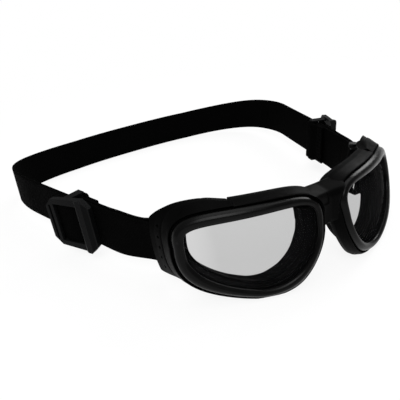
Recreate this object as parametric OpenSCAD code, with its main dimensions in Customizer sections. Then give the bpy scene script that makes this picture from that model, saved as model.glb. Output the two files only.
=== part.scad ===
/* [Lens] */
// Width of each lens opening
lens_w = 58.5; // [56:0.5:60]
// Height of the opening above the lens axis
lens_up = 11; // [9.5:0.1:12]
// Height of the opening below the lens axis
lens_down = 23; // [21:0.5:24]
// Radius of the lens's outer face
lens_r = 95; // [85:1:110]
// Thickness of the lens
lens_t = 2.2; // [1.6:0.1:2.4]

/* [Front] */
// Sideways distance from the middle to a lens axis
eye_x = 36.6; // [36.3:0.1:39]
// Height of the lens axis over the table
eye_z = 28.2; // [28:0.1:29]
// Angle that each lens is turned round the face
wrap = 23.5; // [20:0.5:25]
// Angle that each lens leans back at its top
lean = 11; // [8:0.5:12]
// Width of the raised bead round a lens
bead_w = 4.2; // [4:0.1:4.6]
// Height of the bead over the lens
bead_rise = 2.8; // [2.2:0.1:3.4]
// Depth of an eyecup behind the lens at the nose
cup_depth = 6; // [5.5:0.1:7]
// Height of the middle of the bridge's underside
nose_z = 25; // [22:0.5:27]

/* [Cushion] */
// Thickness of the face cushion at its crown
foam_t = 5.5; // [4:0.1:6]
// Width of the face cushion
foam_w = 5.6; // [4.8:0.1:6]
// Thickness of the carrier behind an eyecup
carrier_t = 1.6; // [1.2:0.1:2]

/* [Strap] */
// Width of the webbing
strap_w = 25; // [20:0.5:26]
// Thickness of the webbing
strap_t = 1.6; // [1.2:0.1:1.8]
// Half of the width of the strap's loop, to the webbing's middle line
loop_half = 103; // [100:0.1:108]
// Distance from the strap's back to the middle of the part
back_y = 115.1; // [105:0.1:125]
// Height of the webbing's middle line at the sides
strap_z = 20.6; // [20:0.1:21.5]
// Angle that the webbing leans outwards at the sides
side_lean = 3; // [2:0.5:6]
// Angle that the webbing leans in at the back of the head
back_lean = 10; // [4:1:14]
// Radius of the strap's anchor pin
pin_r = 1.5; // [1.2:0.1:1.6]
// Sideways step from an anchor pin out to the line of the strap's straight run
flare = 7.1; // [6:0.1:7.5]
// Number of stitches in each bar of sewing
stitches = 9; // [5:1:11]

/* [Slider] */
// Length of a slider along the strap
slider_l = 30.5; // [30:0.5:34]
// Height of a slider over each edge of the strap
slider_rim = 3.4; // [2.8:0.1:4.5]
// Thickness of a slider's plate
slider_t = 2.8; // [2.2:0.1:3.2]
// Angle by which a slider's rear end stands off the strap
slider_tilt = 14.5; // [6:0.5:15]
// Distance along the strap from the pin to the right slider's centre bar
right_at = 57.5; // [56:0.5:64]
// Distance along the strap from the pin to the left slider's centre bar
left_at = 54.5; // [54.5:0.5:64]

/* [Hidden] */
$fn = 36;
N = 60;
gap = 0.3;
eye_y = -107.1;
U = [cos(wrap), sin(wrap), 0];
B = [-sin(wrap) * cos(lean), cos(wrap) * cos(lean), -sin(lean)];
V = [-sin(wrap) * sin(lean), cos(wrap) * sin(lean), cos(lean)];
bend_w = 4;

function sm(x) = let(k = min(1, max(0, x))) k * k * (3 - 2 * k);
// A point of the lens opening's edge: 0 is the temple, 90 the top, 180 the nose
function edge(t) = let(c = cos(t), s = sin(t), n = s >= 0 ? 5 : (c > 0 ? 2.8 : 1.7),
    k = pow(pow(abs(c), n) + pow(abs(s), n), -1 / n), u = lens_w / 2 * c * k)
  [u + 1, (s >= 0 ? lens_up - 0.07 * u : lens_down - 0.26 * u) * s * k];
function out(t) = let(e = edge(t + 5) - edge(t - 5), l = norm(e)) [e[1] / l, -e[0] / l];
function off(t, d) = edge(t) + d * out(t);
function sag(p) = lens_r - sqrt(lens_r * lens_r - p * p);
function bead(t) = bead_w + 1.2 * cos(t) + 1.1 * max(0, sin(t));
function temple(t) = pow(max(0, cos(t)), 2);
// A point of an eyecup: d outwards from the opening's edge, w back from the lens's outer face
function at(t, d, w) = let(p = off(t, d))
  [eye_x, eye_y, eye_z] + U * p[0] + V * p[1] + B * (sag(norm(p)) + min(w, bend_w))
  + [0, max(0, w - bend_w), 0];
function angles(n) = [for (i = [0:n - 1]) i * 360 / n];

// A closed ring of sections, each a closed list of points
module ring(P) {
  n = len(P); m = len(P[0]);
  polyhedron(points = [for (r = P) each r], faces = [for (i = [0:n - 1], j = [0:m - 1])
    let(a = i * m + j, b = i * m + (j + 1) % m, c = ((i + 1) % n) * m + (j + 1) % m,
      d = ((i + 1) % n) * m + j) each [[a, c, b], [a, d, c]]]);
}
// A stack of closed outlines, with a point in the middle of each end
module stack(P, first, last) {
  n = len(P); m = len(P[0]);
  polyhedron(points = concat([for (r = P) each r], [first, last]), faces = concat(
    [for (i = [0:n - 2], j = [0:m - 1]) let(a = i * m + j, b = i * m + (j + 1) % m)
      each [[a, b, a + m], [b, b + m, a + m]]],
    [for (j = [0:m - 1]) [n * m, (j + 1) % m, j]],
    [for (j = [0:m - 1]) [n * m + 1, (n - 1) * m + j, (n - 1) * m + (j + 1) % m]]));
}
// A bar through sections, in which point j faces point m - 1 - j
module bar(P) {
  n = len(P); m = len(P[0]); e = (n - 1) * m;
  polyhedron(points = [for (r = P) each r], faces = concat(
    [for (i = [0:n - 2], j = [0:m - 1]) let(a = i * m + j, b = i * m + (j + 1) % m)
      each [[a, b, a + m], [b, b + m, a + m]]],
    [for (j = [0:m / 2 - 2]) each [[j, m - 2 - j, j + 1], [j, m - 1 - j, m - 2 - j]]],
    [for (j = [0:m / 2 - 2]) each [[e + j, e + j + 1, e + m - 2 - j],
      [e + j, e + m - 2 - j, e + m - 1 - j]]]));
}
module right() { mirror([1, 0, 0]) children(); }

// The side covers run from cover_a over the temple to cover_b
cover_a = 75;
cover_b = -48;
cover_t = 1.3;
function signed(t) = t > 180 ? t - 360 : t;
function under(t) = let(s = signed(t)) s < cover_a + 3 && s > cover_b - 3 ? 1 : 0;
// Wall beside the bezel, how far it stands forward, and the depth of the bezel's channel behind the lens's face
lip = 1;
brow = 0.7;
channel = 1.9;
ledge = 2;
pocket = lens_t + 1.6;
function flush(t) = bead(t) + gap + lip;
function cup_back(t) = cup_depth + 4 * temple(t) + 1.2 * max(0, sin(t));
function cup_out(t) = flush(t) - under(t) * (cover_t + 2 * gap);
function nose(t) = pow(max(0, -cos(t)), 2);
function pad_in(t) = -1 - 3.2 * temple(t) - 2.5 * nose(t) - 1.4 * max(0, sin(t));
function pad_out(t) = foam_w - 1 - 5.6 * temple(t) - 1.3 * nose(t) - 1.4 * max(0, sin(t))
  - 2 * max(0, -sin(t));

// The strap's straight run: s along it from beside the pin, q outwards from the middle of its layers
pin_x = 61.6;
pin_y = -69.5;
run_y = 34;
bow_y = 60;
line_x = pin_x + flare;
run_a = atan((loop_half - line_x) / ((run_y + bow_y) / 2 - pin_y));
run_l = (run_y - pin_y) / cos(run_a);
lay = 0.3;
mid = lay + strap_t / 2;
stub = 14;
pin_s = -flare * sin(run_a);
pin_q = flare * cos(run_a);
function run(s, q) = [line_x + s * sin(run_a) + q * cos(run_a),
  pin_y + s * cos(run_a) - q * sin(run_a)];
module along() translate([line_x, pin_y, strap_z]) rotate([0, 0, 90 - run_a])
  rotate([side_lean, 0, 0]) children();
module at_pin() along() translate([pin_s, pin_q, 0]) rotate([0, 0, run_a - 90]) children();
// A ribbon of webbing standing on edge along a line of points in the strap's run
module ribbon(L) {
  n = len(L);
  nrm = [for (i = [0:n - 1]) let(e = L[min(n - 1, i + 1)] - L[max(0, i - 1)])
    [-e[1], e[0]] / norm(e)];
  translate([0, 0, -strap_w / 2]) linear_extrude(strap_w) polygon(concat(
    [for (i = [0:n - 1]) L[i] + nrm[i] * strap_t / 2],
    [for (i = [n - 1:-1:0]) L[i] - nrm[i] * strap_t / 2]));
}

function floored(p) = [p[0], p[1], max(0, p[2])];
module cup_ring() ring([for (t = angles(N)) let(o = cup_out(t), u = 1 - under(t), c = cup_back(t))
  [for (k = [[ledge, -brow], [o - 0.6 * u, -brow], [o, 0.2], [o + 0.5 * u, c / 2], [o + 0.4 * u, c - 0.6],
    [o - 0.3 * u, c], [pad_in(t) + 0.8, c], [0.3, pocket + 0.8], [0.2, pocket], [ledge, pocket]])
    floored(at(t, k[0], k[1]))]]);
module bezel_space() stack([for (w = [-9, channel]) [for (t = angles(N)) at(t, bead(t) + gap, w)]],
  at(90, -lens_up, -9), at(90, -lens_up, channel));
module cup() difference() {
  cup_ring();
  bezel_space();
}
// The space of an eyecup and its cushion, from the middle of the cup's wall inwards
module cup_core() stack([for (w = [-9, bend_w, 24]) [for (t = angles(N)) at(t, cup_out(t) - 0.5, w)]],
  at(90, -lens_up, -9), at(90, -lens_up, 24));
bridge_half = 12;
bridge_steps = 12;
function bridge_section(x) = let(a = abs(x) / bridge_half, f = -113.4 - 2.4 * a, b = -101.5 - 1.5 * a,
    top = nose_z + 17.3 + 1.2 * a, low = nose_z - 6 * a * a)
  [for (p = [[f, low + 2.5], [f, top - 3], [f + 1.6, top - 0.9], [b - 2.5, top + 0.6], [b, top - 1],
    [b, low + 3], [b - 2, low + 0.6], [f + 2, low]]) [x, p[0], p[1]]];
module bridge() for (i = [0:bridge_steps - 1]) let(x = -bridge_half, e = 2 * bridge_half / bridge_steps)
  hull() bar([bridge_section(x + i * e), bridge_section(x + (i + 1) * e)]);
// The block inside each temple, from the eyecup's wall to just short of the strap's anchor
block = [2.4, 7.5, 16];
module temple_block() translate([pin_x - 0.8, pin_y - 7 - block[1], strap_z - 6.6]) cube(block);
module front_frame() color("#242528") {
  cup();
  right() cup();
  difference() {
    bridge();
    cup_core();
    right() cup_core();
  }
  temple_block();
  right() temple_block();
}

module lens() translate([eye_x, eye_y, eye_z]) rotate([0, 0, wrap]) rotate([-lean, 0, 0]) intersection() {
  translate([0, lens_r, 0]) difference() {
    sphere(lens_r, $fn = 60);
    sphere(lens_r - lens_t, $fn = 60);
  }
  translate([0, 20, 0]) rotate([90, 0, 0]) linear_extrude(40) polygon([for (t = angles(N)) off(t, 1.7)]);
}
module lens_left() color("#a8abad") lens();
module lens_right() color("#a8abad") right() lens();

module bezel() ring([for (t = angles(N)) let(b = bead(t), h = bead_rise)
  [for (k = [[0.05, -gap], [0, -1.3], [0.22 * b, -0.85 * h], [0.5 * b, -h], [0.78 * b, -0.8 * h],
    [b, -0.9], [b, channel - gap], [ledge, channel - gap], [ledge, -gap]]) floored(at(t, k[0], k[1]))]]);
module lens_bezel_left() color("#1b1c1e") bezel();
module lens_bezel_right() color("#1b1c1e") right() bezel();

module seal() ring([for (t = angles(N))
  let(w = lens_t + 2 * gap) [for (k = [[0.5, 0], [1.7, 0], [1.7, 0.6], [0.5, 0.6]]) at(t, k[0], w + k[1])]]);
module lens_seal_left() color("#0f0f10") seal();
module lens_seal_right() color("#0f0f10") right() seal();

module carrier() ring([for (t = angles(N)) let(w = cup_back(t) + gap)
  [for (k = [[pad_in(t), 0], [pad_out(t), 0], [pad_out(t), carrier_t], [pad_in(t), carrier_t]])
    at(t, k[0], w + k[1])]]);
module cushion_carrier_left() color("#1a1b1d") carrier();
module cushion_carrier_right() color("#1a1b1d") right() carrier();

module cushion() ring([for (t = angles(N))
  let(w = cup_back(t) + carrier_t + 2 * gap, a = pad_in(t), b = pad_out(t), c = b - a, h = foam_t)
  [for (k = [[b - 0.3, 0], [b - 0.05, 0.3 * h], [b - 0.35, 0.68 * h], [b - 0.27 * c, 0.93 * h],
    [a + 0.5 * c, h], [a + 0.27 * c, 0.93 * h], [a + 0.35, 0.68 * h], [a + 0.05, 0.3 * h], [a + 0.3, 0]])
    at(t, k[0], w + k[1])]]);
module face_cushion_left() color("#151516") cushion();
module face_cushion_right() color("#151516") right() cushion();

// The side cover goes over from the eyecup's outline to an upright rear edge beside the strap
rear_x = 68.8;
function cover_g(t) = sm((cover_a + 6 - t) / 19) * sm((t - cover_b + 4) / 22);
function cover_w(t) = 6 + 10 * cover_g(t);
function turned(t) = t > 0 ? 80 * sm(t / 52) : -60 * sm(-(t + 20) / 30);
function rear_at(t, e) = let(k = min(1, max(0, (t + 40) / 82)), a = max(0, t - 42))
  [rear_x - 4 * pow(1 - k, 3) - 1.15 * a + 0.0156 * a * a - e * cos(turned(t)),
    -69 - 3 * pow(k, 4) - 0.76 * a + 0.0102 * a * a,
    3 + 34.8 * k + 6.2 * (1 - exp(-a / 5)) - e * sin(turned(t))];
// k runs from 0 at the front to 1 at the rear edge, e is how deep the point lies under the skin
function cover_at(t, k, d, e) = let(g = cover_g(t) * sm(k * 1.15), w = k * cover_w(t))
  at(t, flush(t) + d - e, w) * (1 - g) + rear_at(t, e) * g;
module cover_shell() bar([for (i = [0:30])
  let(t = cover_a - i * (cover_a - cover_b) / 30, b = bead(t) + gap)
  concat([at(t, b, -0.2), at(t, flush(t) - 0.5, -0.7), at(t, flush(t), 0.3)],
    [for (k = [[0.3, 0.35], [0.46, 0.45], [0.53, -0.2], [0.62, 0.15], [1, 0]]) cover_at(t, k[0], k[1], 0)],
    [for (k = [1, 0.62, 0.53, 0.46, 0.3]) cover_at(t, k, 0, cover_t)],
    [at(t, flush(t) - cover_t, 3), at(t, flush(t) - cover_t, 2.3), at(t, b, 2)])]);
vent_z = [11.5, 17, 22.5, 28, 33.5];
vent_r = 0.8;
vent_y = pin_y - 5.4;
module cover() difference() {
  cover_shell();
  for (z = vent_z) translate([pin_x - 1.6, vent_y, z]) rotate([0, 90, 0]) cylinder(h = 12, r = vent_r, $fn = 20);
}
module side_cover_left() color("#26272a") cover();
module side_cover_right() color("#26272a") right() cover();

module mesh_strip() at_pin() translate([1.8, -6.7, -strap_w / 2 + 3.2]) cube([0.5, 3, strap_w - 6]);
module vent_mesh_left() color("#3a3b3e") mesh_strip();
module vent_mesh_right() color("#3a3b3e") right() mesh_strip();

ear_t = 1.6;
head_t = 0.8;
through = 2 * strap_w;
ear_z = strap_w / 2 + 0.35;
foot = 6.4;
module anchor() at_pin() difference() {
  union() {
    for (s = [-1, 1]) translate([0, 0, s * (ear_z + ear_t / 2)]) {
      cylinder(h = ear_t, r = 2.4, center = true);
      translate([-2.4, -foot, -ear_t / 2]) cube([3.6, foot, ear_t]);
    }
    translate([-1.4, -foot, -ear_z - ear_t]) cube([2.6, 2, 2 * (ear_z + ear_t)]);
  }
  cylinder(h = through, r = pin_r + 0.05, center = true);
}
module strap_anchor_left() color("#2b2c2f") anchor();
module strap_anchor_right() color("#2b2c2f") right() anchor();

module pin() at_pin() {
  translate([0, 0, -ear_z - ear_t]) cylinder(h = 2 * ear_z + 2 * ear_t + gap + head_t / 2, r = pin_r);
  translate([0, 0, ear_z + ear_t + gap]) cylinder(h = head_t, r = pin_r + 0.9);
}
module anchor_pin_left() color("#8a8c90") pin();
module anchor_pin_right() color("#8a8c90") right() pin();

// The webbing comes along the outer layer, veers in to the pin, goes round it and turns back as the inner layer
loop_r = pin_r + gap + strap_t / 2;
turn_s = 9;
curve_l = 36;
curve_n = 12;
// Points of a layer that keeps q(s) inwards of the middle of the layers
function left_of_end(s) = max(0, 1 - (s - pin_s) / curve_l);
function layer(s, q) = let(k = -2 * pin_q / curve_l * left_of_end(s), l = norm([1, k]))
  [s - q * k / l, pin_q * pow(left_of_end(s), 2) + q / l];
function ease(s) = mid + (loop_r - mid) * (1 - sm((s - pin_s) / turn_s));
pin_turn = atan(2 * pin_q / curve_l);
function round_pin(f) = [pin_s, pin_q] + loop_r * [cos(f + pin_turn), -sin(f + pin_turn)];
module front_web() along() ribbon(concat([[run_l, -mid]],
  [for (i = [curve_n:-1:1]) let(s = pin_s + i * curve_l / curve_n) layer(s, -ease(s))],
  [for (f = [90:12:270]) round_pin(f)],
  [for (i = [1:6]) let(s = pin_s + i * (stub - pin_s) / 6) layer(s, ease(s))]));
module strap_front_left() color("#101011") front_web();
module strap_front_right() color("#101011") right() front_web();

// The end of the webbing goes round the slider's centre bar and is sewn to itself
bar_r = 0.75;
rail = 1.1;
bar_q = mid + bar_r + gap + strap_t / 2;
sewn = 16;
tail_q = mid + strap_t + 0.1;
module return_web(x) along() let(a = stub + gap / 2, b = x - sewn)
  ribbon([for (i = [0:8]) layer(a + i * (b - a) / 8, mid)]);
module strap_return_left() color("#101011") return_web(left_at);
module strap_return_right() color("#101011") right() return_web(right_at);

module end_web(x) along() translate([x, 0, 0]) ribbon(concat([[-sewn, mid], [1.5, mid]],
  [for (f = [75:-15:-75]) [1.5 + (bar_q - mid) * cos(f), bar_q - (bar_q - mid) * sin(f)]],
  [[1.5, 2 * bar_q - mid], [-2, 2 * bar_q - mid]],
  [for (s = [1:6]) [-2 - s, 2 * bar_q - mid + (tail_q - 2 * bar_q + mid) * sm(s / 6)]],
  [[1 - sewn, tail_q]]));
module slider_loop_left() color("#121213") end_web(left_at);
module slider_loop_right() color("#121213") right() end_web(right_at);

module stitching(x) along() for (k = [0, 1, 2], i = [0:stitches - 1])
  translate([x - sewn + 2.2 + k * 1.9, tail_q + strap_t / 2,
    (i - (stitches - 1) / 2) * (strap_w - 4) / (stitches - 1) - 0.8]) cube([0.5, 0.3, 1.6]);
module loop_stitching_left() color("#2a2a2c") stitching(left_at);
module loop_stitching_right() color("#2a2a2c") right() stitching(right_at);

// Slider: a plate outside the strap, with its centre bar inside the strap
window = 16.5;
rear_bars = 5.5;
front_bar = slider_l - window - rear_bars;
front_s = -window / 2 - front_bar;
plate_q = lay + strap_t + gap;
side_z = strap_w / 2 + 0.6;
slider_h = strap_w + 2 * slider_rim;
cut = 4.5;
// The plate's outline is lower at the rear; x runs from its front end
module slider_outline(h) {
  z = slider_h / 2; r = 0.9 * z;
  rotate([90, 0, 0]) linear_extrude(h) polygon([[cut, -z], [slider_l - cut, -r], [slider_l, -r + cut],
    [slider_l, r - cut], [slider_l - cut, r], [cut, z], [0, z - cut], [0, -z + cut]]);
}
module slider_plate() intersection() {
  slider_outline(6);
  union() {
    difference() {
      translate([0, -slider_t, -through / 2]) cube([slider_l, slider_t, through]);
      translate([front_bar, -20, -side_z + 1.6]) cube([window, 40, 2 * side_z - 3.2]);
      translate([front_bar + window + 2, -20, -side_z + 2.4]) cube([1.5, 40, 2 * side_z - 4.8]);
    }
    translate([0, 0, -through / 2]) linear_extrude(through) polygon([for (p = [[front_bar, -0.4], [front_bar, 0.5],
      [front_bar - 1.5, 1.2], [3.5, 1.2], [0, -0.6], [0, -1.4], [front_bar - 2, -1.4]])
      [p[0], -slider_t - p[1]]]);
  }
}
module slider(x) along() translate([x, 0, 0]) {
  translate([front_s, -plate_q, 0]) rotate([0, 0, -slider_tilt]) slider_plate();
  lift = -front_s * tan(slider_tilt);
  for (s = [-1, 1]) translate([-2.6, -plate_q - lift - 1, s * (side_z + rail / 2) - rail / 2])
    cube([5.2, plate_q + lift + 1 + bar_q + bar_r, rail]);
  translate([0, bar_q, 0]) {
    for (s = [-1.5, 1.5]) translate([s, 0, 0]) cylinder(h = 2 * side_z + rail, r = bar_r, center = true);
    cube([3, 2 * bar_r, 2 * side_z + rail], center = true);
  }
}
module slider_left() color("#232427") slider(left_at);
module slider_right() color("#232427") right() slider(right_at);

// The rest of the loop: a bend at each side and a bow round the back of the head
start = run(run_l, mid);
bow_x = start[0] + tan(run_a) * (bow_y - start[1]) / 2;
bow_d = back_y - bow_y;
bow_n = 2.6;
rise = strap_z - strap_w / 2 * cos(back_lean) - strap_t / 2 * sin(back_lean);
function web_z(y) = strap_z - rise * pow(min(1, max(0, (y - run_y) / (112 - run_y))), 1.6);
function bow_at(y) = bow_x * pow(max(0, 1 - pow((y - bow_y) / bow_d, bow_n)), 1 / bow_n);
function bow_yat(x) = bow_y + bow_d * pow(max(0, 1 - pow(abs(x) / bow_x, bow_n)), 1 / bow_n);
function bend(k) = let(l = bow_y - start[1], y = l * k)
  [start[0] + tan(run_a) * (y - y * y / (2 * l)), start[1] + y];
// Sections of a band that stands on edge along a line of points and leans in more towards the back
function web_lean(y) = -side_lean + (side_lean + back_lean) * pow(sm((y - run_y) / (back_y - run_y)), 1.6);
function band(L) = let(n = len(L)) [for (i = [0:n - 1])
  let(e = L[min(n - 1, i + 1)] - L[max(0, i - 1)], r = [-e[1], e[0]] / norm(e), a = web_lean(L[i][1]),
    c = [L[i][0], L[i][1], web_z(L[i][1])], up = [r[0] * sin(a), r[1] * sin(a), cos(a)] * strap_w / 2,
    th = [r[0] * cos(a), r[1] * cos(a), -sin(a)] * strap_t / 2)
  [c - th - up, c - th + up, c + th + up, c + th - up]];
module side_web() let(k = gap / (bow_y - start[1]))
  bar(band([for (i = [0:8]) bend(k + (1 - 2 * k) * i / 8)]));
module strap_side_left() color("#101011") side_web();
module strap_side_right() color("#101011") right() side_web();

turn_y = bow_y + 0.78 * bow_d;
turn_x = bow_at(turn_y);
module rear_strap() color("#101011") bar(band(concat(
  [for (i = [0:8]) let(y = bow_y + (turn_y - bow_y) * i / 9) [bow_at(y), y]],
  [for (i = [0:26]) let(x = turn_x * (1 - i / 13)) [x, bow_yat(x)]],
  [for (i = [8:-1:0]) let(y = bow_y + (turn_y - bow_y) * i / 9) [-bow_at(y), y]])));

front_frame();
lens_right();
lens_left();
lens_bezel_right();
lens_bezel_left();
lens_seal_right();
lens_seal_left();
cushion_carrier_right();
cushion_carrier_left();
face_cushion_right();
face_cushion_left();
side_cover_right();
side_cover_left();
vent_mesh_right();
vent_mesh_left();
strap_anchor_right();
strap_anchor_left();
anchor_pin_right();
anchor_pin_left();
strap_front_right();
strap_front_left();
strap_return_right();
strap_return_left();
slider_right();
slider_left();
slider_loop_right();
slider_loop_left();
loop_stitching_right();
loop_stitching_left();
strap_side_right();
strap_side_left();
rear_strap();
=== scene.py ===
import math

import bmesh
import bpy
from mathutils import Matrix, Vector, noise


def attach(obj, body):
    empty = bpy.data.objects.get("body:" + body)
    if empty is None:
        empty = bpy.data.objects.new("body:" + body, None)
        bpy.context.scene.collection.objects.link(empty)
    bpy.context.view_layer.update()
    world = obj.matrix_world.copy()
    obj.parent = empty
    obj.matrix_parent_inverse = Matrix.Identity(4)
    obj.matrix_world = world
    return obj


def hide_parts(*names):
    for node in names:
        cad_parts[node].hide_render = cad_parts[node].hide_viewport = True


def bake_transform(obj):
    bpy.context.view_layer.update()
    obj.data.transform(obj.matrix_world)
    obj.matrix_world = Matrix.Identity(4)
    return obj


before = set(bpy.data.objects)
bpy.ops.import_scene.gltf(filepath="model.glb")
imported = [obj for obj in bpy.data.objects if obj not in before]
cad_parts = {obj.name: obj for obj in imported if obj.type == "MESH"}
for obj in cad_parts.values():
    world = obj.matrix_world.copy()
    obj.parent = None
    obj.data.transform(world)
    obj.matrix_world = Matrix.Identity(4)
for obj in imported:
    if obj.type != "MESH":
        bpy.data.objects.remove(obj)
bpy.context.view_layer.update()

# Sizes of the part, in millimetres, as in its source
LENS_W, LENS_UP, LENS_DOWN, LENS_R, LENS_T = 58.5, 11.0, 23.0, 95.0, 2.2
EYE = Vector((36.6, -107.1, 28.2))
WRAP, LEAN = math.radians(23.5), math.radians(11)
BEAD_W, BEAD_RISE, CUP_DEPTH, NOSE_Z = 4.2, 2.8, 6.0, 25.0
FOAM_T, FOAM_W, CARRIER_T = 5.5, 5.6, 1.6
STRAP_W, STRAP_T = 25.0, 1.6
LOOP_HALF, BACK_Y, STRAP_Z = 103.0, 115.1, 20.6
SIDE_LEAN, BACK_LEAN, FLARE = 3.0, 10.0, 7.1
PIN_R, PIN_X, PIN_Y = 1.5, 61.6, -69.5
RIGHT_AT, LEFT_AT = 57.5, 54.5
GAP, LIP, BROW, LEDGE, BEND_W, CHANNEL, POCKET = 0.3, 1.0, 0.7, 2, 4.0, 1.9, 3.8
COVER_A, COVER_B, COVER_T, REAR_X = 75.0, -48.0, 1.3, 68.8
BRIDGE_HALF = 12
VENT_Y, VENT_Z, VENT_R = -74.9, (11.5, 17, 22.5, 28, 33.5), 0.8
RUN_Y, BOW_Y, LAY, STUB, SEWN = 34.0, 60.0, 0.3, 14.0, 16.0

# A lens's own directions: across, back and up
U = Vector((math.cos(WRAP), math.sin(WRAP), 0))
B = Vector((-math.sin(WRAP) * math.cos(LEAN), math.cos(WRAP) * math.cos(LEAN), -math.sin(LEAN)))
V = Vector((-math.sin(WRAP) * math.sin(LEAN), math.cos(WRAP) * math.sin(LEAN), math.cos(LEAN)))

# The opening is a superellipse. Its exponents: over the top, below at the temple, below at the nose
TOP_N, TEMPLE_N, NOSE_N = 5, 2.8, 1.7
# Slopes of its top and underside, its sideways step, and the angle to the points that give its direction
TOP_SLOPE, LOW_SLOPE, EDGE_SHIFT, APART = 0.07, 0.26, 1, 5
# The bead gets wider by these at the temple and over the top
BEAD_TEMPLE, BEAD_TOP = 1.2, 1.1
# At two lower corners it is fuller than in the part's source: where, over how many degrees, by how much
CORNERS, CORNER_WIDE, CORNER_MORE = (232, 318), 20, 1.2
# The frame's wall steps in under a cover from this many degrees past the cover's ends
SEAM = 3
# The cup gets deeper by these at the temple and over the top
BACK_TEMPLE, BACK_TOP = 4, 1.2
# How far the foam and its plate reach in: all round, and more at the temple, the nose and the top
IN_ROUND, IN_TEMPLE, IN_NOSE, IN_TOP = 1, 3.2, 2.5, 1.4
# How much they fall short of the foam's width outside: at the same places, and below
OUT_ROUND, OUT_TEMPLE, OUT_NOSE, OUT_TOP, OUT_LOW = 1, 5.6, 1.3, 1.4, 2
# Two pieces that lie on each other here are this far apart
CLEAR = 0.02


def sm(x):
    """A smooth step from 0 to 1."""
    k = min(1.0, max(0.0, x))
    return k * k * (3 - 2 * k)


def cosd(t):
    return math.cos(math.radians(t))


def sind(t):
    return math.sin(math.radians(t))


# The eyecups, as in the part's source
def edge(t):
    """A point of the opening's edge: t is 0 at the temple, 90 at the top and 180 at the nose."""
    c, s = cosd(t), sind(t)
    n = TOP_N if s >= 0 else (TEMPLE_N if c > 0 else NOSE_N)
    k = (abs(c) ** n + abs(s) ** n) ** (-1 / n)
    u = LENS_W / 2 * c * k
    height = LENS_UP - TOP_SLOPE * u if s >= 0 else LENS_DOWN - LOW_SLOPE * u
    return Vector((u + EDGE_SHIFT, height * s * k))


def off(t, d):
    """A point d outwards from the opening's edge."""
    e = edge(t + APART) - edge(t - APART)
    return edge(t) + d * Vector((e.y, -e.x)).normalized()


def sag(p):
    """How far the lens's outer face falls back at a point."""
    return LENS_R - math.sqrt(LENS_R ** 2 - p.length_squared)


def at(t, d, w):
    """A point of an eyecup: d outwards from the opening's edge, w back from the lens's outer face."""
    p = off(t, d)
    return EYE + U * p.x + V * p.y + B * (sag(p) + min(w, BEND_W)) + Vector((0, max(0, w - BEND_W), 0))


def bead(t):
    """The bead's width."""
    lower = sum(math.exp(-(((t - a + 180) % 360 - 180) / CORNER_WIDE) ** 2) for a in CORNERS)
    return BEAD_W + BEAD_TEMPLE * cosd(t) + BEAD_TOP * max(0, sind(t)) + CORNER_MORE * lower


def temple(t):
    return max(0, cosd(t)) ** 2


def nose(t):
    return max(0, -cosd(t)) ** 2


def under(t):
    """1 where a side cover lies over the frame's wall, and 0 elsewhere."""
    s = t % 360
    s = s - 360 if s > 180 else s
    return 1.0 if COVER_B - SEAM < s < COVER_A + SEAM else 0.0


def flush(t):
    """Outer side of the frame, and of the covers where they start."""
    return bead(t) + GAP + LIP


def cup_back(t):
    return CUP_DEPTH + BACK_TEMPLE * temple(t) + BACK_TOP * max(0, sind(t))


def cup_out(t):
    """Outer side of the wall. A cover lies on it, so that nothing shows through the cover's groove."""
    return flush(t) - under(t) * (COVER_T + CLEAR)


def pad_in(t):
    return -IN_ROUND - IN_TEMPLE * temple(t) - IN_NOSE * nose(t) - IN_TOP * max(0, sind(t))


def pad_out(t):
    sides = OUT_TEMPLE * temple(t) + OUT_NOSE * nose(t)
    return FOAM_W - OUT_ROUND - sides - OUT_TOP * max(0, sind(t)) - OUT_LOW * max(0, -sind(t))


def cover_g(t):
    """How far a cover's rear edge goes over from the cup's outline to the upright edge by the strap."""
    return sm((COVER_A + 6 - t) / 19) * sm((t - COVER_B + 4) / 22)


def turned(t):
    """The way the rear edge faces, in degrees from sideways."""
    return 80 * sm(t / 52) if t > 0 else -60 * sm(-(t + 20) / 30)


def rear_at(t, e):
    """The upright rear edge: k runs up beside the strap, and a goes on in degrees over the top."""
    k = min(1.0, max(0.0, (t + 40) / 82))
    a = max(0.0, t - 42)
    return Vector((
        REAR_X - 4 * (1 - k) ** 3 - 1.15 * a + 0.0156 * a * a - e * cosd(turned(t)),
        -69 - 3 * k ** 4 - 0.76 * a + 0.0102 * a * a,
        3 + 34.8 * k + 6.2 * (1 - math.exp(-a / 5)) - e * sind(turned(t)),
    ))


def rearward(t, k):
    """The share of the upright rear edge in a cover's point."""
    return cover_g(t) * sm(k * 1.15)


def cover_at(t, k, d, e):
    """k runs from 0 at a cover's front to 1 at its rear edge, d outwards, e inwards from the skin."""
    g = rearward(t, k)
    return at(t, flush(t) + d - e, k * (6 + 10 * cover_g(t))) * (1 - g) + rear_at(t, e) * g


# The strap's run beside the head
LINE_X = PIN_X + FLARE
RUN_A = math.atan((LOOP_HALF - LINE_X) / ((RUN_Y + BOW_Y) / 2 - PIN_Y))
RUN_L = (RUN_Y - PIN_Y) / math.cos(RUN_A)
PIN_S, PIN_Q = -FLARE * math.sin(RUN_A), FLARE * math.cos(RUN_A)
MID = LAY + STRAP_T / 2


def along(s, y, z):
    """s runs along the strap from beside the pin, y inwards, z up across it."""
    a = math.radians(SIDE_LEAN)
    y, z = y * math.cos(a) - z * math.sin(a), y * math.sin(a) + z * math.cos(a)
    return Vector((
        LINE_X + s * math.sin(RUN_A) - y * math.cos(RUN_A),
        PIN_Y + s * math.cos(RUN_A) + y * math.sin(RUN_A),
        STRAP_Z + z,
    ))


# Mesh building
def metres(p, side):
    """A point of the left side in metres. side -1 mirrors it to the right."""
    return (p[0] * side / 1000, p[1] / 1000, p[2] / 1000)


def link(obj):
    bpy.context.scene.collection.objects.link(obj)
    return obj


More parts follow.
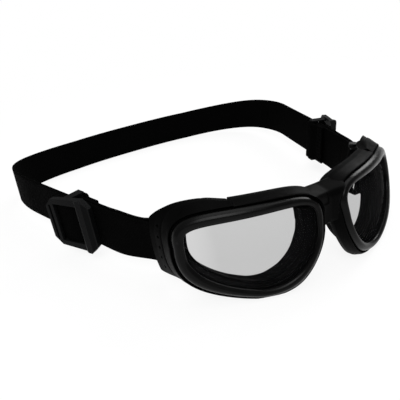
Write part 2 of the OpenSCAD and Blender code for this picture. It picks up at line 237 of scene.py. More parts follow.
def finished(name, bm):
    """An object of a bmesh, which is freed."""
    mesh = bpy.data.meshes.new(name)
    bm.to_mesh(mesh)
    bm.free()
    return link(bpy.data.objects.new(name, mesh))


def soften(points, radius, n=3):
    """Rounds the corners of a closed outline."""
    made = []
    m = len(points)
    for i, v in enumerate(points):
        r = radius[i] if isinstance(radius, (list, tuple)) else radius
        a, b = points[i - 1], points[(i + 1) % m]
        la, lb = max((a - v).length, 1e-9), max((b - v).length, 1e-9)
        p, q = v.lerp(a, min(r / la, 0.45)), v.lerp(b, min(r / lb, 0.45))
        for j in range(n + 1):
            s = j / n
            made.append(p * (1 - s) ** 2 + v * 2 * s * (1 - s) + q * s * s)
    return made


def loft(name, sections, closed=True, side=1, uv=None):
    """Skins closed outlines, in millimetres. side -1 mirrors the piece to the right."""
    bm = bmesh.new()
    rows = [[bm.verts.new(metres(p, side)) for p in s] for s in sections]
    n, m = len(rows), len(rows[0])
    layer = bm.loops.layers.uv.new("UVMap") if uv else None
    for i in range(n if closed else n - 1):
        a, b = rows[i], rows[(i + 1) % n]
        for j in range(m):
            f = bm.faces.new((a[j], a[(j + 1) % m], b[(j + 1) % m], b[j]))
            f.smooth = True
            if layer:
                corners = (i, j), (i, j + 1), (i + 1, j + 1), (i + 1, j)
                for loop, (r, c) in zip(f.loops, corners):
                    loop[layer].uv = uv(r, c)
    if not closed:
        for row in (rows[0], rows[-1]):
            bm.faces.new(row)
    bmesh.ops.triangulate(bm, faces=[f for f in bm.faces if len(f.verts) > 4])
    bmesh.ops.recalc_face_normals(bm, faces=bm.faces)
    return finished(name, bm)


def joined(name, parts):
    """Joins meshes into one object."""
    bm = bmesh.new()
    for p in parts:
        bm.from_mesh(p.data)
        bpy.data.objects.remove(p)
    return finished(name, bm)


def cut(obj, other):
    """Cuts another mesh, which is then deleted, out of obj."""
    mod = obj.modifiers.new("cut", "BOOLEAN")
    mod.operation, mod.object, mod.solver = "DIFFERENCE", other, "EXACT"
    dg = bpy.context.evaluated_depsgraph_get()
    mesh = bpy.data.meshes.new_from_object(obj.evaluated_get(dg))
    obj.modifiers.clear()
    old, obj.data = obj.data, mesh
    bpy.data.meshes.remove(old)
    bpy.data.objects.remove(other)
    return obj


def creased(obj, angle):
    """Shades a piece smooth, apart from edges sharper than an angle in degrees."""
    for f in obj.data.polygons:
        f.use_smooth = True
    obj.data.set_sharp_from_angle(angle=math.radians(angle))


def put(obj, material, body, slot, *nodes):
    obj.data.materials.clear()
    obj.data.materials.append(material)
    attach(obj, body)
    if nodes:
        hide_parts(*nodes)
    return obj


def angles(n):
    return [360.0 * i / n for i in range(n)]


# Camera at the photograph's angle
cam_data = bpy.data.cameras.new("camera")
cam = link(bpy.data.objects.new("camera", cam_data))
bpy.context.scene.camera = cam
cam_data.sensor_width = 36
cam_data.lens = 41.53
cam_data.shift_x, cam_data.shift_y = 0.0235, -0.0381
cam_data.clip_start, cam_data.clip_end = 0.01, 50
cam_at = (-0.13529, -0.24376, 0.13248)
right, up = Vector((0.8577, -0.5019, -0.1112)), Vector((0.2946, 0.3026, 0.9065))
facing = Matrix((right, up, right.cross(up))).transposed()
cam.matrix_world = Matrix.Translation(cam_at) @ facing.to_4x4()


# Materials
def material(name, **sockets):
    mat = bpy.data.materials.new(name)
    mat.use_nodes = True
    shader = mat.node_tree.nodes["Principled BSDF"]
    for key, value in sockets.items():
        shader.inputs[key.replace("_", " ")].default_value = value
    return mat, mat.node_tree, shader


def add(tree, kind, **values):
    """A node with its sockets or settings set by name."""
    node = tree.nodes.new(kind)
    for key, value in values.items():
        if key in node.inputs:
            node.inputs[key].default_value = value
        else:
            setattr(node, key, value)
    return node


def maths(tree, operation, a, b=None):
    node = tree.nodes.new("ShaderNodeMath")
    node.operation = operation
    for i, v in enumerate((a, b)):
        if v is None:
            continue
        if isinstance(v, (int, float)):
            node.inputs[i].default_value = v
        else:
            tree.links.new(v, node.inputs[i])
    return node.outputs[0]


def place(tree):
    """The point's place in metres, which is the same from every side."""
    return tree.nodes.new("ShaderNodeTexCoord").outputs["Object"]


def ramp(tree, fac, stops):
    node = tree.nodes.new("ShaderNodeValToRGB")
    els = node.color_ramp.elements
    for el, (pos, value) in zip(els, stops, strict=True):
        el.position = pos
        el.color = (*value, 1) if isinstance(value, tuple) else (value, value, value, 1)
    tree.links.new(fac, node.inputs["Fac"])
    return node.outputs["Color"]


def drive(tree, socket, fac, *stops):
    """Sets a socket from a ramp of two stops."""
    tree.links.new(ramp(tree, fac, stops), socket)


def noise_at(tree, scale, detail=3.0, vector=None):
    node = add(tree, "ShaderNodeTexNoise", Scale=scale, Detail=detail)
    tree.links.new(place(tree) if vector is None else vector, node.inputs["Vector"])
    return node.outputs["Fac"]


def bump(tree, shader, height, strength, distance):
    node = add(tree, "ShaderNodeBump", Strength=strength, Distance=distance)
    tree.links.new(height, node.inputs["Height"])
    tree.links.new(node.outputs["Normal"], shader.inputs["Normal"])


# Colour of black plastic where it is rubbed
RUBBED = (0.030, 0.031, 0.033, 1)


def plastic(name, dark, light, rough, grain, wear, shine=0.025):
    """Moulded black plastic: fine spark-eroded grain, cloudy tone, paler rubbed edges, uneven gloss."""
    mat, tree, shader = material(name, Specular_IOR_Level=shine)
    mix = add(tree, "ShaderNodeMix", data_type="RGBA")
    edges = tree.nodes.new("ShaderNodeNewGeometry").outputs["Pointiness"]
    drive(tree, mix.inputs["Factor"], edges, (0.52, 0.0), (0.58, wear))
    drive(tree, mix.inputs["A"], noise_at(tree, 60, 4), (0.3, dark), (0.7, light))
    mix.inputs["B"].default_value = RUBBED
    tree.links.new(mix.outputs["Result"], shader.inputs["Base Color"])
    gloss = noise_at(tree, 140, 5)
    drive(tree, shader.inputs["Roughness"], gloss, (0.3, rough - 0.06), (0.7, rough + 0.08))
    bump(tree, shader, noise_at(tree, 2600, 2), grain, 0.0001)
    return mat


frame_plastic = plastic("frame_plastic", 0.0008, 0.0018, 0.42, 0.25, 0.15, 0.018)
bezel_plastic = plastic("bezel_plastic", 0.0010, 0.0020, 0.25, 0.15, 0.10, 0.10)
cover_plastic = plastic("cover_plastic", 0.0008, 0.0018, 0.40, 0.35, 0.04, 0.010)
anchor_plastic = plastic("anchor_plastic", 0.0008, 0.0016, 0.45, 0.3, 0.05)
slider_plastic = plastic("slider_plastic", 0.0008, 0.0018, 0.38, 0.3, 0.08)


def weave(name, dark, light, pitch_u, pitch_v, strength):
    """Webbing: ribs of yarn that cross over and under, from UVs in millimetres, with painted highlight on the
    raised yarn and painted shade in the hollows.
    """
    mat, tree, shader = material(name, Roughness=0.85, Specular_IOR_Level=0.012)
    uv = tree.nodes.new("ShaderNodeUVMap")
    uv.uv_map = "UVMap"
    split = tree.nodes.new("ShaderNodeSeparateXYZ")
    tree.links.new(uv.outputs["UV"], split.inputs["Vector"])
    ribs = maths(tree, "DIVIDE", split.outputs["Y"], pitch_v)
    shift = maths(tree, "MULTIPLY", maths(tree, "MODULO", maths(tree, "FLOOR", ribs), 2.0), 0.5)
    picks = maths(tree, "ADD", maths(tree, "DIVIDE", split.outputs["X"], pitch_u), shift)
    over = maths(tree, "SINE", maths(tree, "MULTIPLY", picks, 2 * math.pi))
    over = maths(tree, "ADD", maths(tree, "MULTIPLY", over, 0.35), 0.65)
    across = maths(tree, "ABSOLUTE", maths(tree, "SINE", maths(tree, "MULTIPLY", ribs, math.pi)))
    fuzz = maths(tree, "MULTIPLY", noise_at(tree, 4000, 3), 0.35)
    height = maths(tree, "ADD", maths(tree, "MULTIPLY", over, across), fuzz)
    cloud = maths(tree, "MULTIPLY", noise_at(tree, 45, 4), 0.35)
    # The base colour follows the weave's height: raised yarn is painted lighter and the hollows darker,
    # painted highlight and shade, over a random cloud of tone
    tone = maths(tree, "ADD", maths(tree, "MULTIPLY", height, 0.75), cloud)
    drive(tree, shader.inputs["Base Color"], tone, (0.25, dark), (0.95, light))
    bump(tree, shader, height, strength, 0.0003)
    return mat


webbing = weave("webbing", 0.0002, 0.0016, 1.6, 0.9, 0.5)

foam, tree, shader = material("cushion_foam", Roughness=0.9, Specular_IOR_Level=0.03)
cells = add(tree, "ShaderNodeTexVoronoi", Scale=1500.0)
tree.links.new(place(tree), cells.inputs["Vector"])
pores = maths(tree, "MULTIPLY", cells.outputs["Distance"], 0.7)
cloud = maths(tree, "MULTIPLY", noise_at(tree, 90, 4), 0.4)
drive(tree, shader.inputs["Base Color"], maths(tree, "ADD", pores, cloud), (0.2, 0.0010), (0.9, 0.0038))
bump(tree, shader, cells.outputs["Distance"], 0.4, 0.0002)

rubber, tree, shader = material("seal_rubber", Specular_IOR_Level=0.06)
drive(tree, shader.inputs["Base Color"], noise_at(tree, 120, 4), (0.3, 0.002), (0.7, 0.004))
drive(tree, shader.inputs["Roughness"], noise_at(tree, 300, 3), (0.3, 0.6), (0.7, 0.75))
bump(tree, shader, noise_at(tree, 1800, 3), 0.25, 0.0001)

steel, tree, shader = material("pin_steel", Metallic=1.0)
stretched = add(tree, "ShaderNodeMapping", Scale=(900.0, 900.0, 12.0))
tree.links.new(place(tree), stretched.inputs["Vector"])
brushed = noise_at(tree, 1.0, 4, stretched.outputs["Vector"])
drive(tree, shader.inputs["Base Color"], brushed, (0.2, 0.012), (0.8, 0.030))
drive(tree, shader.inputs["Roughness"], brushed, (0.2, 0.28), (0.8, 0.45))
bump(tree, shader, brushed, 0.15, 0.0001)

mesh_mat, tree, shader = material("vent_mesh", Roughness=0.8, Specular_IOR_Level=0.03)
wires = add(tree, "ShaderNodeTexBrick", Scale=1600.0, offset=0.0)
tree.links.new(place(tree), wires.inputs["Vector"])
wires.inputs["Color1"].default_value = (0.004, 0.004, 0.0043, 1)
wires.inputs["Color2"].default_value = (0.003, 0.003, 0.0033, 1)
wires.inputs["Mortar"].default_value = (0.001, 0.001, 0.001, 1)
tree.links.new(wires.outputs["Color"], shader.inputs["Base Color"])
bump(tree, shader, wires.outputs["Fac"], 0.5, 0.0001)

thread, tree, shader = material("thread", Roughness=0.8, Specular_IOR_Level=0.03)
twist = add(tree, "ShaderNodeTexWave", Scale=900.0, Distortion=1.0, bands_direction="DIAGONAL")
tree.links.new(place(tree), twist.inputs["Vector"])
drive(tree, shader.inputs["Base Color"], twist.outputs["Fac"], (0.1, 0.0015), (0.9, 0.0045))
bump(tree, shader, twist.outputs["Fac"], 0.6, 0.0001)

# The lenses are a little clearer close to the temples, which paints in a lighter reflection there, and
# otherwise hardly reflect
glass, tree, shader = material("lens", Specular_IOR_Level=0.001)
parts = tree.nodes.new("ShaderNodeSeparateXYZ")
tree.links.new(place(tree), parts.inputs["Vector"])
sideways = maths(tree, "ABSOLUTE", parts.outputs["X"])
tint = (0.0070, 0.0070, 0.0074), (0.0100, 0.0100, 0.0106)
drive(tree, shader.inputs["Base Color"], noise_at(tree, 50, 3), (0.3, tint[0]), (0.7, tint[1]))
# Alpha is lower near the temples, so more white shows through there: a painted reflection
drive(tree, shader.inputs["Alpha"], sideways, (0.0525, 0.254), (0.0560, 0.198))
drive(tree, shader.inputs["Roughness"], noise_at(tree, 35, 4), (0.35, 0.03), (0.75, 0.10))

# Eyecup pieces on both sides
N = 192
SIDES = (("left", 1), ("right", -1))
# The frame's wall steps in under a cover within 0.2 degrees, so these angles are added round both ends
RING = sorted(angles(N) + [t % 360 + d for t in (COVER_A + SEAM, COVER_B - SEAM) for d in (-0.1, 0.1)])
# The frame's top stands this much higher than in the part's source, away from the covers
FRAME_HIGH = 0.8
# The bead stands this much clear of the frame and covers, over the gap in the part's source
GROOVE = 0.4
# The foam's surface is uneven by this much, in waves of about 1 / UNEVEN_PITCH millimetres
UNEVEN, UNEVEN_PITCH = 0.12, 0.22


def ringed(profile):
    return [profile(t) for t in RING]


def floored(points):
    return [Vector((p.x, p.y, max(0.0, p.z))) for p in points]


def cup_profile(t):
    """The section of an eyecup. Where no cover lies over its wall, the wall stands forward beside the bead."""
    o, free, c = cup_out(t), 1 - under(t), cup_back(t)
    high = FRAME_HIGH * free * sm((sind(t) - 0.4) / 0.4)
    front = -BROW if free else CHANNEL
    inner = bead(t) + GAP if free else o - 0.6
    pts = [
        (inner, front), (o - 0.5 * free - 0.1, front), (o, max(0.2, front + 0.3)),
        (o + 0.5 * free + high, c / 2), (o + 0.4 * free + high, c - 0.6), (o - 0.3 * free + high, c),
        (pad_in(t) + 0.8, c), (0.3, POCKET + 0.8), (0.2, POCKET), (LEDGE, POCKET),
        (LEDGE, CHANNEL), (inner, CHANNEL),
    ]
    return floored(soften([at(t, *p) for p in pts], 0.3, 2))


def bezel_profile(t):
    b, h = bead(t), BEAD_RISE
    e = b - GROOVE * (1 + 0.6 * under(t) * temple(t))
    pts = [
        (0.05, -GAP), (0, -1.3), (0.22 * b, -0.85 * h), (0.5 * b, -h), (0.78 * b, -0.8 * h),
        (e, -0.8), (e, CHANNEL - GAP), (LEDGE, CHANNEL - GAP), (LEDGE, -GAP),
    ]
    radii = [0.2, 0.5, 1, 0.5, 1, 0.4, 0.2, 0.2, 0.2]
    return floored(soften([at(t, *p) for p in pts], radii, 3))


def carrier_profile(t):
    """The plate lies on the cup and the foam on the plate, where the part's source keeps gaps."""
    w = cup_back(t) + CLEAR
    l = CARRIER_T + 2 * GAP - 2 * CLEAR
    pts = [(pad_in(t), w), (pad_out(t), w), (pad_out(t), w + l), (pad_in(t), w + l)]
    return soften([at(t, *p) for p in pts], 0.35, 3)


def cushion_profile(t):
    """The section of the foam: a glued foot, a waist on the outside and a crowned face."""
    w = cup_back(t) + CARRIER_T + 2 * GAP
    a, b, h = pad_in(t), pad_out(t), FOAM_T
    c = b - a
    pts = [
        (b - 0.3, 0), (b - 0.02, 0.3 * h), (b - 0.1, 0.5 * h), (b - 0.55, 0.56 * h), (b - 0.2, 0.64 * h),
        (b - 0.45, 0.8 * h), (b - 0.27 * c, 0.94 * h), (a + 0.5 * c, h), (a + 0.27 * c, 0.94 * h),
        (a + 0.35, 0.75 * h), (a + 0.05, 0.35 * h), (a + 0.3, 0),
    ]
    made = soften([at(t, d, w + z) for d, z in pts], 0.6, 3)
    for p in made:
        p += Vector((1, 1, 1)) * UNEVEN * noise.noise(p * UNEVEN_PITCH)
    return made


# Rings of a lens's faces, how far past the opening the rim and the rings reach, and the rim's rounding
LENS_RINGS, LENS_RIM, LENS_INNER, FRONT_ROUND, BACK_ROUND = 10, 1.7, 1.55, 0.12, 0.93


def lens_mesh(side, name):
    """A lens: two curved faces, each of rings round a middle point, and the rim between them."""
    bm = bmesh.new()
    rims = []
    for depth in (0, LENS_T):
        rows = []
        for k in range(1, LENS_RINGS + 1):
            row = []
            for t in angles(N // 2):
                if k < LENS_RINGS:
                    p, fall = off(t, LENS_INNER) * (k / LENS_RINGS), depth
                else:
                    p, fall = off(t, LENS_RIM), depth * BACK_ROUND if depth else FRONT_ROUND
                q = EYE + U * p.x + V * p.y + B * (sag(p) + fall)
                row.append(bm.verts.new(metres(q, side)))
            rows.append(row)
        centre = bm.verts.new(metres(EYE + B * depth, side))
        m = len(rows[0])
        for j in range(m):
            bm.faces.new((centre, rows[0][j], rows[0][(j + 1) % m]))
            for a, b in zip(rows, rows[1:]):
                bm.faces.new((a[j], b[j], b[(j + 1) % m], a[(j + 1) % m]))
        rims.append(rows[-1])
    a, b = rims
    for j in range(m):
        bm.faces.new((a[j], a[(j + 1) % m], b[(j + 1) % m], b[j]))
    bmesh.ops.recalc_face_normals(bm, faces=bm.faces)
    for f in bm.faces:
        f.smooth = True
    return finished(name, bm)


# The right half of the bridge's face has an L-shaped step: its start, its flank's width, depth and height
STEP_X, STEP_W, STEP_D, STEP_Z = -0.8, 0.5, 0.6, 36.4
EVENLY = [i - BRIDGE_HALF for i in range(2 * BRIDGE_HALF + 1)]
BRIDGE_X = sorted(EVENLY + [-1.35, -1.2, -1.05, -0.9, -0.75])


def bridge_section(x):
    a = abs(x) / BRIDGE_HALF
    f, b = -113.4 - 2.4 * a, -101.5 - 1.5 * a
    top, low = NOSE_Z + 17.3 + 1.2 * a, NOSE_Z - 6 * a * a
    deep = STEP_D * sm((STEP_X - x) / STEP_W)
    pts = [
        (f, low + 2.5), (f, STEP_Z), (f + deep, STEP_Z + deep), (f + deep, top - 3), (f + 1.6, top - 0.9),
        (b - 2.5, top + 0.6), (b, top - 1), (b, low + 3), (b - 2, low + 0.6), (f + 2, low),
    ]
    return soften([Vector((x, y, z)) for y, z in pts], [0.9, 0.15, 0.15] + [0.9] * 7, 3)


def core(side):
    """The space of an eyecup and its cushion, from the middle of the cup's wall inwards."""
    rows = [[at(t, cup_out(t) - 0.5, w) for t in angles(96)] for w in (-9, BEND_W, 24)]
    return loft("core", rows, closed=False, side=side)


# The block inside each temple
BLOCK_X, BLOCK_Y, BLOCK_Z = (60.8, 63.2), (-84, -76.5), (14, 30)


def temple_block(side):
    (x0, x1), (z0, z1) = BLOCK_X, BLOCK_Z
    corners = (x0, z0), (x1, z0), (x1, z1), (x0, z1)
    ends = [soften([Vector((x, y, z)) for x, z in corners], 0.4) for y in BLOCK_Y]
    return loft("block", ends, closed=False, side=side)


cups = [loft("cup", ringed(cup_profile), side=s) for _, s in SIDES]
bridge = loft("bridge", [bridge_section(x) for x in BRIDGE_X], closed=False)
for _, s in SIDES:
    bridge = cut(bridge, core(s))
creased(bridge, 40)
blocks = [temple_block(s) for _, s in SIDES]
goggle_frame = joined("goggle_frame", cups + [bridge] + blocks)
put(goggle_frame, frame_plastic, "goggle_front", "frame_plastic", "front_frame")

for name, s in SIDES:
    beading = loft(f"lens_bead_{name}", ringed(bezel_profile), side=s)
    put(beading, bezel_plastic, "goggle_front", "bezel_plastic", f"lens_bezel_{name}")
    plate = loft(f"carrier_plate_{name}", ringed(carrier_profile), side=s)
    put(plate, frame_plastic, "goggle_front", "frame_plastic", f"cushion_carrier_{name}")
    pad = loft(f"foam_cushion_{name}", ringed(cushion_profile), side=s)
    put(pad, foam, "goggle_front", "cushion_foam", f"face_cushion_{name}")
    put(lens_mesh(s, f"clear_lens_{name}"), glass, "goggle_front", "lens", f"lens_{name}")

# Side covers. They reach this many degrees past their ends in the part's source, up to the frame's seams
OVER, STEPS = 2.6, 120
COVER_FROM, COVER_TO = COVER_A + OVER, COVER_B - OVER
# The skin's points (k, d) from front to rear, with the groove that runs along it, and k of those inside
SKIN = (
    (0.2, 0.4), (0.27, 0.55), (0.287, -0.3), (0.31, -0.35),
    (0.325, 0.3), (0.5, 0.15), (0.85, 0.1), (1, 0),
)
INSIDE = 1, 0.62, 0.46, 0.3
# A cover's top stands this much higher than in the part's source, and DROP less than that past 60 degrees
RAISED, DROP = 1.9, 1.0


def raised(t, k):
    """The block on a cover's top, between the bead and the rear edge."""
    back = sm((k - 0.35) / 0.55) * (1 - 0.8 * sm((t - 60) / 12))
    high = RAISED - DROP * sm((t - 60) / 15)
    return Vector((0, 0, high * sm((t - 28) / 14) * sm(k / 0.2) * (1 - back)))


def cover_profile(t):
    b = bead(t) + GAP
    pts = [at(t, b, 0.1), at(t, flush(t) - 0.5, -0.6), at(t, flush(t), 0.3)]
    for k, d in SKIN:
        d = d / max(0.3, 1 - rearward(t, k))
        if d < 0:
            # The groove fades out over the top
            d += (0.5 - d) * sm((t - 32) / 28)
        pts.append(cover_at(t, k, d, 0) + raised(t, k))
    pts += [cover_at(t, k, 0, COVER_T) + raised(t, k) for k in INSIDE]
    pts += [at(t, flush(t) - COVER_T, 3), at(t, flush(t) - COVER_T, 2.3), at(t, b, 2)]
    return soften(pts, 0.3, 2)


def rod(a, b, r, n=24):
    """A round cutter from a to b."""
    d = (b - a).normalized()
    x = d.orthogonal().normalized()
    y = d.cross(x)
    turns = [k * 2 * math.pi / n for k in range(n)]
    return [[p + (x * math.cos(f) + y * math.sin(f)) * r for f in turns] for p in (a, b)]


for name, s in SIDES:
    rows = [cover_profile(COVER_FROM - (COVER_FROM - COVER_TO) * i / STEPS) for i in range(STEPS + 1)]
    shell = loft(f"temple_cover_{name}", rows, closed=False, side=s)
    for z in VENT_Z:
        hole = rod(Vector((60, VENT_Y, z)), Vector((72, VENT_Y, z)), VENT_R)
        shell = cut(shell, loft("hole", hole, closed=False, side=s))
    creased(shell, 45)
    put(shell, cover_plastic, "goggle_front", "cover_plastic", f"side_cover_{name}")

# Webbing
LOOP_R = PIN_R + GAP + STRAP_T / 2
TURN, CURVE_L = 9.0, 36.0
# Near the cup the webbing is twisted by this many degrees, and the twist fades out over this stretch
TWIST, TWIST_FROM, TWIST_OVER = 9.0, 6, 20
BAR_R = 0.75
BAR_Q = MID + BAR_R + GAP + STRAP_T / 2
TAIL_Q = MID + STRAP_T + 0.1
# Neighbouring stretches of webbing run into each other by this much, so that no gap shows at rest
REACH = 0.2
# The band's edges are rounded from this share of its half width on
ROUNDED = 0.94
ACROSS = [-1, -0.995, -0.975, -ROUNDED] + [-0.8 + 0.2 * i for i in range(9)] + [ROUNDED, 0.975, 0.995, 1]


def resample(line, step):
    """Points along a line of points, about step apart."""
    made = [line[0]]
    for a, b in zip(line, line[1:]):
        n = max(1, round((b - a).length / step))
        made += [a.lerp(b, i / n) for i in range(1, n + 1)]
    return made


def half_thickness(z):
    a = max(0.0, (abs(z) - ROUNDED) / (1 - ROUNDED))
    return STRAP_T / 2 * math.sqrt(max(0.0, 1 - a * a * 0.98))


def web(name, stations, side, start=0.0, width=STRAP_W):
    """A band of webbing. A station is a centre, the direction of the thickness and that of the width."""
    sections, run = [], [start]
    for i, (c, thick, wide) in enumerate(stations):
        if i:
            run.append(run[-1] + (c - stations[i - 1][0]).length)
        ripple = 0.10 * noise.noise(Vector((run[-1] * 0.09, 3.1, 0)))
        ring = []
        for z in ACROSS:
            ring.append(c + wide * (z * width / 2) + thick * (half_thickness(z) + ripple * (1 - abs(z))))
        for z in ACROSS[::-1]:
            ring.append(c + wide * (z * width / 2) - thick * (half_thickness(z) - ripple * (1 - abs(z))))
        sections.append(ring)
    # The weave's places across the band: up one face, and on down the other
    half = STRAP_W / 2
    across = [z * half for z in ACROSS] + [STRAP_W + 2 - z * half for z in ACROSS[::-1]] + [3 * half + 3]

    def uv(r, c):
        return (run[min(r, len(run) - 1)], across[c])

    return loft(name, sections, closed=False, side=side, uv=uv)


def sideline(line, i):
    """The direction square to a line of points at one of them."""
    e = (line[min(i + 1, len(line) - 1)] - line[max(i - 1, 0)]).normalized()
    return Vector((-e.y, e.x))


def straight(line, shift=0.0):
    """Stations along a line of points (s, y) beside the head. shift moves them along it."""
    pts = resample([Vector(p) for p in line], 1.2)
    axis = along(1, 0, 0) - along(0, 0, 0)
    made = []
    for i, p in enumerate(pts):
        n, s = sideline(pts, i), p.x + shift
        c = along(s, p.y, 0)
        twist = math.radians(TWIST) * (1 - sm((s - TWIST_FROM) / TWIST_OVER))
        lean = Matrix.Rotation(twist, 3, axis)
        made.append((c, lean @ (along(s + n.x, p.y + n.y, 0) - c), lean @ (along(s, p.y, 1) - c)))
    return made


def layer(s, q):
    """A point of a layer that curves in to the pin and keeps q inwards of the middle of the layers."""
    left = max(0.0, 1 - (s - PIN_S) / CURVE_L)
    k = -2 * PIN_Q / CURVE_L * left
    l = math.hypot(1, k)
    return (s - q * k / l, PIN_Q * left ** 2 + q / l)


def ease(s):
    return MID + (LOOP_R - MID) * (1 - sm((s - PIN_S) / TURN))


def front_line():
    """The outer webbing from the bend to the pin, round it and back as the inner layer."""
    pts = [(RUN_L + REACH, -MID)]
    pts += [layer(s, -ease(s)) for s in (PIN_S + CURVE_L * i / 36 for i in range(36, 0, -1))]
    turn = math.degrees(math.atan(2 * PIN_Q / CURVE_L))
    pts += [(PIN_S + LOOP_R * cosd(f + turn), PIN_Q - LOOP_R * sind(f + turn)) for f in range(90, 271, 6)]
    return pts + [layer(s, ease(s)) for s in (PIN_S + (STUB - PIN_S) * i / 16 for i in range(1, 17))]


def return_line(x):
    return [layer(STUB + (x - SEWN - STUB) * i / 24, MID) for i in range(25)]


def loop_line():
    """The end of the webbing, round the slider's centre bar and sewn to itself."""
    r, far = BAR_Q - MID, 2 * BAR_Q - MID
    pts = [(-SEWN, MID), (1.5, MID)]
    pts += [(1.5 + r * cosd(f), BAR_Q - r * sind(f)) for f in range(84, -85, -6)]
    pts += [(1.5, far), (-2, far)]
    pts += [(-2 - s / 2, far + (TAIL_Q - 2 * BAR_Q + MID) * sm(s / 12)) for s in range(1, 13)]
    return pts + [(1 - SEWN, TAIL_Q)]


# The rest of the loop: a bend at each side and a bow round the back of the head
START = (
    LINE_X + RUN_L * math.sin(RUN_A) + MID * math.cos(RUN_A),
    PIN_Y + RUN_L * math.cos(RUN_A) - MID * math.sin(RUN_A),
)
BOW_X = START[0] + math.tan(RUN_A) * (BOW_Y - START[1]) / 2
BOW_D, BOW_N = BACK_Y - BOW_Y, 2.6
RISE = STRAP_Z - STRAP_W / 2 * cosd(BACK_LEAN) - STRAP_T / 2 * sind(BACK_LEAN)


def web_z(y):
    return STRAP_Z - RISE * min(1, max(0, (y - RUN_Y) / (112 - RUN_Y))) ** 1.6


def web_lean(y):
    return -SIDE_LEAN + (SIDE_LEAN + BACK_LEAN) * sm((y - RUN_Y) / (BACK_Y - RUN_Y)) ** 1.6


def bow_at(y):
    return BOW_X * max(0, 1 - ((y - BOW_Y) / BOW_D) ** BOW_N) ** (1 / BOW_N)


def bow_yat(x):
    return BOW_Y + BOW_D * max(0, 1 - (abs(x) / BOW_X) ** BOW_N) ** (1 / BOW_N)


def bend(k):
    l = BOW_Y - START[1]
    y = l * k
    return (START[0] + math.tan(RUN_A) * (y - y * y / (2 * l)), START[1] + y)


def rear_line():
    """From the left bend round the back to the right one: by y at the sides, by x behind the head."""
    turn_y = BOW_Y + 0.78 * BOW_D
    turn_x = bow_at(turn_y)
    ys = [BOW_Y + (turn_y - BOW_Y) * i / 24 for i in range(24)]
    xs = [turn_x * (1 - i / 36) for i in range(73)]
    bow = [(bow_at(y), y) for y in ys]
    return bow + [(x, bow_yat(x)) for x in xs] + [(-x, y) for x, y in bow[::-1]]


def banded(line):
    """Stations along a line of points (x, y) of the bend or the bow."""
    pts = [Vector(p) for p in line]
    made = []
    for i, p in enumerate(pts):
        r, a = sideline(pts, i), web_lean(p.y)
        thick = Vector((r.x * cosd(a), r.y * cosd(a), -sind(a)))
        wide = Vector((r.x * sind(a), r.y * sind(a), cosd(a)))
        made.append((Vector((p.x, p.y, web_z(p.y))), thick, wide))
    return made


# Bar tacks: rows of stitches, stitches in a row, points along a stitch, sides of its thread
TACKS, IN_ROW, ALONG, ROUND = 3, 9, 9, 8
# The first row's distance from the tail's end, the rows' spacing, a stitch's length, height and radius
FIRST_AT, ROWS_APART, STITCH_L, STITCH_H, THREAD_R = 2.45, 1.9, 1.9, 0.20, 0.24


def stitches(name, x, side):
    """Bar tacks: short humped stitches of twisted thread."""
    parts = []
    for k in range(TACKS):
        for i in range(IN_ROW):
            s = x - SEWN + FIRST_AT + k * ROWS_APART
            z = (i - 4) * (STRAP_W - 4) / (IN_ROW - 1)
            path = []
            for j in range(ALONG):
                f = j / (ALONG - 1)
                hump = STITCH_H * math.sin(math.pi * f)
                path.append(along(s, TAIL_Q + STRAP_T / 2 + 0.02 + hump, z + (f - 0.5) * STITCH_L))
            rings = []
            for j, p in enumerate(path):
                d = (path[min(j + 1, ALONG - 1)] - path[max(j - 1, 0)]).normalized()
                a = d.orthogonal().normalized()
                b = d.cross(a)
                r = THREAD_R * (0.55 + 0.45 * math.sin(math.pi * j / (ALONG - 1)))
                turns = [q * 2 * math.pi / ROUND for q in range(ROUND)]
                rings.append([p + (a * math.cos(q) + b * math.sin(q)) * r for q in turns])
            parts.append(loft("stitch", rings, closed=False, side=side))
    return joined(name, parts)


def stretch(obj, start, end, node):
    """Webbing: takes the webbing material, keeps its place in the world and hides the part's node in its
    stead.
    """
    obj.data.materials.append(webbing)
    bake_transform(obj)
    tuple(start)
    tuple(end)
    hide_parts(node)


# Slider, as in the part's source: its plate is tilted off the strap
TILT, WINDOW, REAR_BARS, SLIDER_L = math.radians(14.5), 16.5, 5.5, 30.5
FRONT_BAR = SLIDER_L - WINDOW - REAR_BARS
PLATE_Q = LAY + STRAP_T + GAP
# Width of the webbing that fills a window
WINDOW_WEB = 22.4


def in_window(x):
    """The webbing that shows in a slider's window: it rises over the middle and dips under the bars."""
    made = []
    for i in range(25):
        f = i / 24
        px, py = FRONT_BAR - 1.5 + (WINDOW + 3) * f, 1.3 - 2.6 * math.sin(math.pi * f) ** 0.6
        made.append((
            x - WINDOW / 2 - FRONT_BAR + px * math.cos(TILT) + py * math.sin(TILT),
            -PLATE_Q - px * math.sin(TILT) + py * math.cos(TILT),
        ))
    return made


# The number after the side shifts the weave along each stretch
for name, s, x in (("left", 1, LEFT_AT), ("right", -1, RIGHT_AT)):
    slider_set = f"{name}_slider_set"
    piece = web(f"web_window_{name}", straight(in_window(x)), s, 190, WINDOW_WEB)
    put(piece, webbing, slider_set, "webbing")
    piece = web(f"web_front_{name}", straight(front_line()), s)
    put(piece, webbing, "goggle_front", "webbing", f"strap_front_{name}")
    line = return_line(x)
    start, end = metres(along(*line[0], 0), s), metres(along(*line[-1], 0), s)
    piece = web(f"web_return_{name}", straight(line), s, 120)
    stretch(piece, start, end, f"strap_return_{name}")
    piece = web(f"web_loop_{name}", straight(loop_line(), x), s, 160)
    put(piece, webbing, slider_set, "webbing", f"slider_loop_{name}")
    put(stitches(f"bar_tack_{name}", x, s), thread, slider_set, "thread", f"loop_stitching_{name}")
    piece = web(f"web_side_{name}", banded([bend(k / 24) for k in range(25)]), s, 230)
    start, end = (0, START[1] / 1000, 0), (0, BOW_Y / 1000, 0)
    stretch(piece, start, end, f"strap_side_{name}")

put(web("web_rear", banded(rear_line()), 1, 270), webbing, "headband_back", "webbing", "rear_strap")

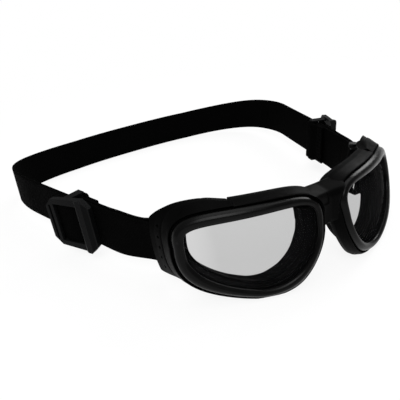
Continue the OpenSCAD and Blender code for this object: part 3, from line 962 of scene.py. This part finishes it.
# Pieces of the frame whose shape stays, with the width of their bevels in millimetres
KEPT = (
    ("slider_", slider_plastic, 0.6),
    ("strap_anchor_", anchor_plastic, 0.25),
    ("anchor_pin_", steel, 0.2),
    ("lens_seal_", rubber, 0.1),
    ("vent_mesh_", mesh_mat, 0.08),
)
for prefix, mat, width in KEPT:
    for name, _ in SIDES:
        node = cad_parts[prefix + name]
        node.data.materials.clear()
        node.data.materials.append(mat)
        weld = node.modifiers.new("weld", "WELD")
        weld.merge_threshold = 0.000002
        bevel = node.modifiers.new("bevel", "BEVEL")
        bevel.width, bevel.segments = width / 1000, 3
        bevel.limit_method, bevel.angle_limit = "ANGLE", math.radians(35)
        bevel.harden_normals = False

# Floor
FLOOR = 12
floor = bpy.data.meshes.new("floor")
square = [(-FLOOR, -FLOOR, 0), (FLOOR, -FLOOR, 0), (FLOOR, FLOOR, 0), (-FLOOR, FLOOR, 0)]
floor.from_pydata(square, [], [(0, 1, 2, 3)])
floor = link(bpy.data.objects.new("floor", floor))
floor.location.z = -0.0001
mat, tree, shader = material("floor", Roughness=0.9)
shader.inputs["Base Color"].default_value = (0.85, 0.85, 0.85, 1)
shader.inputs["Specular IOR Level"].default_value = 0.0
ray = tree.nodes.new("ShaderNodeLightPath")
seen = maths(tree, "MAXIMUM", ray.outputs["Is Camera Ray"], ray.outputs["Is Glossy Ray"])
seen = maths(tree, "MAXIMUM", seen, ray.outputs["Is Transmission Ray"])
white = add(tree, "ShaderNodeEmission", Color=(1, 1, 1, 1), Strength=1.0)
reach = add(tree, "ShaderNodeVectorMath", operation="LENGTH")
tree.links.new(place(tree), reach.inputs[0])
# Round the object the floor keeps its shadow; further off it goes over to plain white
share = ramp(tree, reach.outputs["Value"], [(0.16, 0.88), (0.45, 1.0)])
mix = tree.nodes.new("ShaderNodeMixShader")
tree.links.new(maths(tree, "MULTIPLY", seen, share), mix.inputs["Fac"])
tree.links.new(shader.outputs["BSDF"], mix.inputs[1])
tree.links.new(white.outputs["Emission"], mix.inputs[2])
tree.links.new(mix.outputs["Shader"], tree.nodes["Material Output"].inputs["Surface"])
floor.data.materials.append(mat)

# A white background that lights the object only softly
studio = bpy.data.worlds.new("studio")
bpy.context.scene.world = studio
studio.use_nodes = True
tree = studio.node_tree
tree.nodes.clear()
ray = tree.nodes.new("ShaderNodeLightPath")
fill = add(tree, "ShaderNodeBackground", Color=(1, 1, 1, 1), Strength=0.35)
seen = add(tree, "ShaderNodeBackground", Color=(1, 1, 1, 1), Strength=1.0)
mix = tree.nodes.new("ShaderNodeMixShader")
tree.links.new(ray.outputs["Is Camera Ray"], mix.inputs["Fac"])
tree.links.new(fill.outputs["Background"], mix.inputs[1])
tree.links.new(seen.outputs["Background"], mix.inputs[2])
tree.links.new(mix.outputs["Shader"], tree.nodes.new("ShaderNodeOutputWorld").inputs["Surface"])


def lamp(name, spot, target, size, watts):
    data = bpy.data.lights.new(name, "AREA")
    data.size, data.energy = size, watts
    obj = link(bpy.data.objects.new(name, data))
    obj.location = spot
    obj.rotation_mode = "QUATERNION"
    obj.rotation_quaternion = (Vector(target) - Vector(spot)).to_track_quat("-Z", "Y")


lamp("key", (-0.7, -0.8, 1.3), (0, 0, 0.02), 0.9, 16)
lamp("top", (0.1, 0.1, 1.6), (0, 0, 0), 1.4, 12)
lamp("rim", (0.9, 0.2, 0.7), (0.03, -0.1, 0.02), 0.5, 6)

bpy.context.scene.view_settings.view_transform = "Standard"
